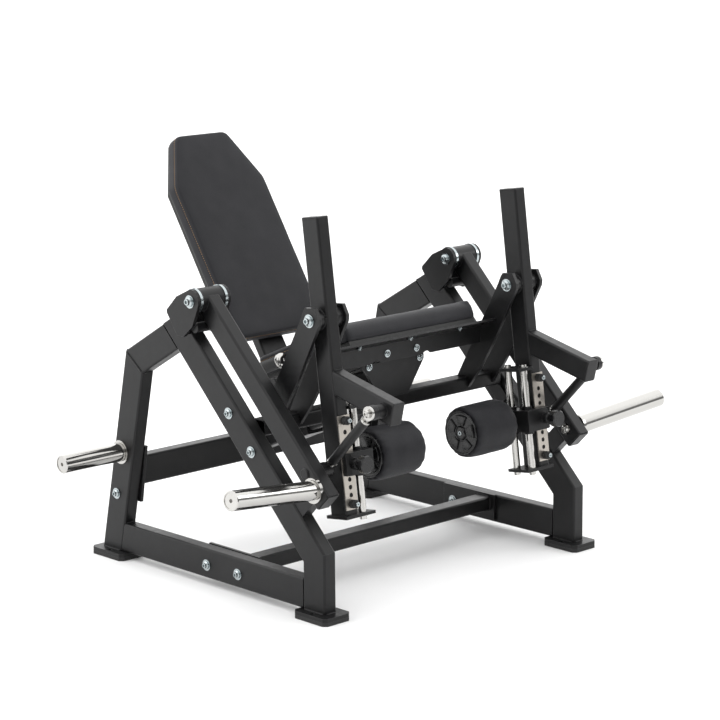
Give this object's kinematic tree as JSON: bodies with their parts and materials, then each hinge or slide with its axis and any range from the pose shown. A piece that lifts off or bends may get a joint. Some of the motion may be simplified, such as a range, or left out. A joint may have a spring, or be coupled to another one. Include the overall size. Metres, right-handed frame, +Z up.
{
  "type": "leg extension machine",
  "caption": "Plate-loaded leg extension machine: tube frame, seat, sliding backrest, two swinging leg arms with foam rollers, linked to weight levers with chrome horns.",
  "frame": {"origin": "middle of the footprint on the floor", "axes": "+Z up, the user faces -Y, X across the machine, X = 0 the plane of symmetry"},
  "size_m": [1.5876, 1.2052, 1.0984],
  "materials": {
    "frame_paint": "satin black powder coat",
    "upholstery": "black grained upholstery, tan stitching",
    "roller_foam": "black foam roller cover",
    "panel": "black coated panel",
    "rubber": "matte black rubber",
    "chrome": "polished chrome",
    "zinc": "bright zinc",
    "stainless": "satin stainless",
    "plastic": "moulded black plastic",
    "steel": "blackened steel"
  },
  "bodies": {
    "frame": {"apex_plates": "frame_paint", "arm_axles": "zinc", "arm_brackets": "frame_paint", "crossbar_end_plates": "frame_paint", "foot_pads": "rubber", "foot_plates": "frame_paint", "frame_bolts": "zinc", "front_crossbar": "frame_paint", "hand_grips": "rubber", "handle_bar": "frame_paint", "hub_axles": "zinc", "left_base_rail": "frame_paint", "left_front_post": "frame_paint", "left_rear_upright": "frame_paint", "left_top_member": "frame_paint", "lever_rests": "frame_paint", "rear_crossbar": "frame_paint", "right_base_rail": "frame_paint", "right_front_post": "frame_paint", "right_rear_upright": "frame_paint", "right_top_member": "frame_paint", "seat_beam": "frame_paint", "seat_board": "panel", "seat_front_plate": "frame_paint", "seat_pad": "upholstery", "seat_rails": "frame_paint", "seat_spine": "frame_paint", "seat_supports": "frame_paint", "storage_horns": "chrome"},
    "backrest": {"backrest_board": "panel", "backrest_pad": "upholstery", "backrest_post": "frame_paint", "backrest_sleeve": "frame_paint"},
    "backrest_pin": {"backrest_pull_pin": "plastic"},
    "left_arm": {"left_bumpers": "rubber", "left_guide_rods": "chrome", "left_hole_strip": "stainless", "left_leg_arm": "frame_paint"},
    "left_link": {"left_link_rod": "frame_paint", "left_rod_ends": "chrome"},
    "left_pin": {"left_pull_pin": "plastic"},
    "left_carriage": {"left_roller_axle": "steel", "left_roller_carriage": "frame_paint"},
    "left_roller": {"left_roller_hub": "plastic", "left_roller_pad": "roller_foam"},
    "left_lever": {"left_weight_horn": "chrome", "left_weight_lever": "frame_paint"},
    "right_arm": {"right_bumpers": "rubber", "right_guide_rods": "chrome", "right_hole_strip": "stainless", "right_leg_arm": "frame_paint"},
    "right_link": {"right_link_rod": "frame_paint", "right_rod_ends": "chrome"},
    "right_pin": {"right_pull_pin": "plastic"},
    "right_carriage": {"right_roller_axle": "steel", "right_roller_carriage": "frame_paint"},
    "right_roller": {"right_roller_hub": "plastic", "right_roller_pad": "roller_foam"},
    "right_lever": {"right_weight_horn": "chrome", "right_weight_lever": "frame_paint"}
  },
  "joints": [
    {"name": "left_arm_swing", "type": "hinge", "parent": "frame", "child": "left_arm", "pos_m": [-0.358, -0.33836, 0.738], "axis": [1, 0, 0], "range_deg": [-95, 0]},
    {"name": "left_lever_swing", "type": "hinge", "parent": "frame", "child": "left_lever", "pos_m": [-0.4645, -0.00836, 0.759], "axis": [1, 0, 0], "range_deg": [-44.01, 0]},
    {"name": "left_link_swing", "type": "hinge", "parent": "left_lever", "child": "left_link", "pos_m": [-0.412, -0.39727, 0.37009], "axis": [1, 0, 0], "range_deg": [-11.45, 0]},
    {"name": "left_roller_height", "type": "slide", "parent": "left_arm", "child": "left_carriage", "axis": [0, 0.1305, 0.9914], "range_m": [-0.04, 0.06]},
    {"name": "left_roller_spin", "type": "hinge", "parent": "left_carriage", "child": "left_roller", "pos_m": [-0.173, -0.37236, 0.37251], "axis": [1, 0, 0], "continuous": true},
    {"name": "left_pin_pull", "type": "slide", "parent": "left_carriage", "child": "left_pin", "axis": [0, -0.9914, 0.1305], "range_m": [0, 0.012], "stiffness_N_per_m": 800},
    {"name": "right_arm_swing", "type": "hinge", "parent": "frame", "child": "right_arm", "pos_m": [0.358, -0.33836, 0.738], "axis": [1, 0, 0], "range_deg": [-95, 0]},
    {"name": "right_lever_swing", "type": "hinge", "parent": "frame", "child": "right_lever", "pos_m": [0.4645, -0.00836, 0.759], "axis": [1, 0, 0], "range_deg": [-44.01, 0]},
    {"name": "right_link_swing", "type": "hinge", "parent": "right_lever", "child": "right_link", "pos_m": [0.412, -0.39727, 0.37009], "axis": [1, 0, 0], "range_deg": [-11.45, 0]},
    {"name": "right_roller_height", "type": "slide", "parent": "right_arm", "child": "right_carriage", "axis": [0, 0.1305, 0.9914], "range_m": [-0.04, 0.06]},
    {"name": "right_roller_spin", "type": "hinge", "parent": "right_carriage", "child": "right_roller", "pos_m": [0.173, -0.37236, 0.37251], "axis": [1, 0, 0], "continuous": true},
    {"name": "right_pin_pull", "type": "slide", "parent": "right_carriage", "child": "right_pin", "axis": [0, -0.9914, 0.1305], "range_m": [0, 0.012], "stiffness_N_per_m": 800},
    {"name": "backrest_slide", "type": "slide", "parent": "frame", "child": "backrest", "axis": [0, 0.9173, -0.3982], "range_m": [-0.12, 0.04]},
    {"name": "backrest_pin_pull", "type": "slide", "parent": "backrest", "child": "backrest_pin", "axis": [-1, 0, 0], "range_m": [0, 0.012], "stiffness_N_per_m": 800}
  ],
  "couplings": [
    {"joint": "left_lever_swing", "follows": "left_arm_swing", "ratio": 0.45795},
    {"joint": "left_link_swing", "follows": "left_arm_swing", "ratio": 0.11527},
    {"joint": "right_lever_swing", "follows": "right_arm_swing", "ratio": 0.45795},
    {"joint": "right_link_swing", "follows": "right_arm_swing", "ratio": 0.11527}
  ]
}
